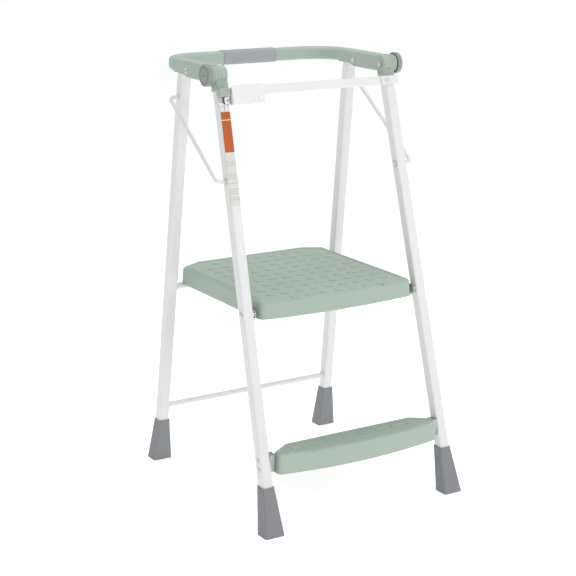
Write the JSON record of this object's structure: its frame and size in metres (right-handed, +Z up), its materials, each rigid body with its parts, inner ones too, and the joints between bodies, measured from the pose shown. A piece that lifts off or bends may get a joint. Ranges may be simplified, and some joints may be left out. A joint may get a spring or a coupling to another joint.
{
  "type": "step stool",
  "caption": "Folding step stool for a child, with a platform, a lower step, a hand rail on release hubs, and a swing gate bar with a sliding latch.",
  "frame": {"origin": "on the floor, in the middle of the rectangle that the four boots stand in", "axes": "+Z up, +Y to the rear, away from the side where a child climbs up, +X to the right as seen from the front"},
  "size_m": [0.4922, 0.5429, 0.9225],
  "materials": {
    "white_steel": "white powder coat",
    "green_plastic": "fine-textured sage green polypropylene",
    "grey_rubber": "matt grey rubber",
    "grip_rubber": "soft grey grip",
    "grey_plastic": "satin grey",
    "zinc_steel": "zinc plated",
    "bare_steel": "galvanised",
    "white_plastic": "satin white",
    "orange_film": "printed film",
    "white_film": "paper-like film"
  },
  "bodies": {
    "front_frame": {"front_leg_left": "white_steel", "front_leg_right": "white_steel", "front_boot_left": "grey_rubber", "front_boot_right": "grey_rubber", "hub_socket_left": "green_plastic", "hub_socket_right": "green_plastic", "hub_axle_left": "zinc_steel", "hub_axle_right": "zinc_steel", "platform_pin_left": "zinc_steel", "platform_pin_right": "zinc_steel", "step_bracket_left": "bare_steel", "step_bracket_right": "bare_steel", "lower_step": "green_plastic", "step_screws": "zinc_steel", "neck_rivets": "zinc_steel", "gate_bracket": "white_steel", "gate_rivet": "zinc_steel", "latch_block": "green_plastic", "latch_strike": "bare_steel", "orange_strip": "orange_film", "white_label": "white_film", "button_spring_left": "zinc_steel", "button_spring_right": "zinc_steel"},
    "rail": {"rail_side_outer_left": "green_plastic", "rail_side_outer_right": "green_plastic", "rail_side_inner_left": "green_plastic", "rail_side_inner_right": "green_plastic", "rail_cover_upper": "green_plastic", "rail_cover_lower": "green_plastic", "rail_core_tube": "bare_steel", "rail_core_saddles": "grey_plastic", "rail_grip": "grip_rubber", "rail_pivot_bolt_left": "zinc_steel", "rail_pivot_bolt_right": "zinc_steel"},
    "rear_frame": {"rear_leg_left": "white_steel", "rear_leg_right": "white_steel", "rear_boot_left": "grey_rubber", "rear_boot_right": "grey_rubber", "rear_upper_crossbar": "white_steel", "rear_lower_crossbar": "white_steel"},
    "platform": {"platform": "green_plastic", "platform_strap_left": "bare_steel", "platform_strap_right": "bare_steel"},
    "rod_left": {"link_rod_left": "white_steel", "rod_nuts_left": "zinc_steel"},
    "rod_right": {"link_rod_right": "white_steel", "rod_nuts_right": "zinc_steel"},
    "gate": {"gate_bar": "white_steel", "latch_housing": "white_plastic", "latch_back_plate": "white_plastic", "housing_rivets": "zinc_steel", "latch_spring": "zinc_steel"},
    "latch": {"latch_tongue": "bare_steel"},
    "button_left": {"release_button_left": "grey_plastic", "lock_gear_left": "zinc_steel"},
    "button_right": {"release_button_right": "grey_plastic", "lock_gear_right": "zinc_steel"}
  },
  "joints": [
    {"name": "rail_fold", "type": "hinge", "parent": "front_frame", "child": "rail", "pos_m": [0, -0.0138, 0.9], "axis": [1, 0, 0], "range_deg": [0, 75.5]},
    {"name": "rear_leg_fold", "type": "hinge", "parent": "rail", "child": "rear_frame", "pos_m": [0, 0.0893, 0.899], "axis": [1, 0, 0], "range_deg": [-98.6, 0]},
    {"name": "platform_fold", "type": "hinge", "parent": "front_frame", "child": "platform", "pos_m": [0, -0.1384, 0.431], "axis": [1, 0, 0], "range_deg": [0, 75.2]},
    {"name": "rod_swing_left", "type": "hinge", "parent": "front_frame", "child": "rod_left", "pos_m": [0, -0.0689, 0.6925], "axis": [1, 0, 0], "range_deg": [0, 31.1]},
    {"name": "rod_swing_right", "type": "hinge", "parent": "front_frame", "child": "rod_right", "pos_m": [0, -0.0689, 0.6925], "axis": [1, 0, 0], "range_deg": [0, 31.1]},
    {"name": "gate_swing", "type": "hinge", "parent": "front_frame", "child": "gate", "pos_m": [0.183, -0.02366, 0.86287], "axis": [0, -0.9665, 0.2568], "range_deg": [0, 96]},
    {"name": "latch_slide", "type": "slide", "parent": "gate", "child": "latch", "axis": [1, 0, 0], "range_m": [0, 0.008], "stiffness_N_per_m": 250, "deforming": ["latch_spring"]},
    {"name": "button_press_left", "type": "slide", "parent": "front_frame", "child": "button_left", "axis": [1, 0, 0], "range_m": [0, 0.0035], "stiffness_N_per_m": 600, "deforming": ["button_spring_left"]},
    {"name": "button_press_right", "type": "slide", "parent": "front_frame", "child": "button_right", "axis": [-1, 0, 0], "range_m": [0, 0.0035], "stiffness_N_per_m": 600, "deforming": ["button_spring_right"]}
  ],
  "couplings": [
    {"joint": "rear_leg_fold", "follows": "rail_fold", "ratio": -1.3042},
    {"joint": "platform_fold", "follows": "rail_fold", "ratio": 0.995},
    {"joint": "rod_swing_left", "follows": "rail_fold", "ratio": 0.4109},
    {"joint": "rod_swing_right", "follows": "rail_fold", "ratio": 0.4109}
  ]
}
